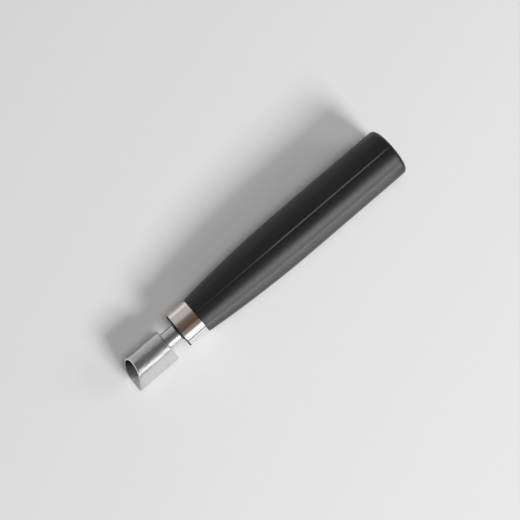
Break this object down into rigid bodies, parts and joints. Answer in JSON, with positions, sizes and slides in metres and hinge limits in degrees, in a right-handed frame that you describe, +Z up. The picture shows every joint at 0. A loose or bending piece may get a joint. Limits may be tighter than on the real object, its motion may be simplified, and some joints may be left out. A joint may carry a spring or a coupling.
{
  "type": "clay shaper tool",
  "caption": "Hand tool for shaping clay: black tapered handle, polished ferrule and steel shank, with a hollow teardrop cutter whose open end is cut on a slant.",
  "frame": {"origin": "centre of the flat butt face at the handle's free end", "axes": "+X along the tool's axis from the butt to the cutter; +Z up as the tool lies on a bench; +Y the side that the cutter's nose is on"},
  "size_m": [0.13, 0.02, 0.02],
  "materials": {
    "handle_black": "satin, moulded",
    "ferrule_nickel": "polished nickel plate, slightly warm",
    "shank_steel": "polished",
    "dark_glue": "smooth",
    "braze": "silver braze, cleaned up",
    "cutter_steel": "polished, with fine drawing marks"
  },
  "bodies": {
    "root": {"handle": "handle_black", "ferrule": "ferrule_nickel", "shank": "shank_steel", "tang_glue": "dark_glue", "braze_bead": "braze", "end_plug": "cutter_steel", "cutter_tube": "cutter_steel"}
  },
  "joints": []
}
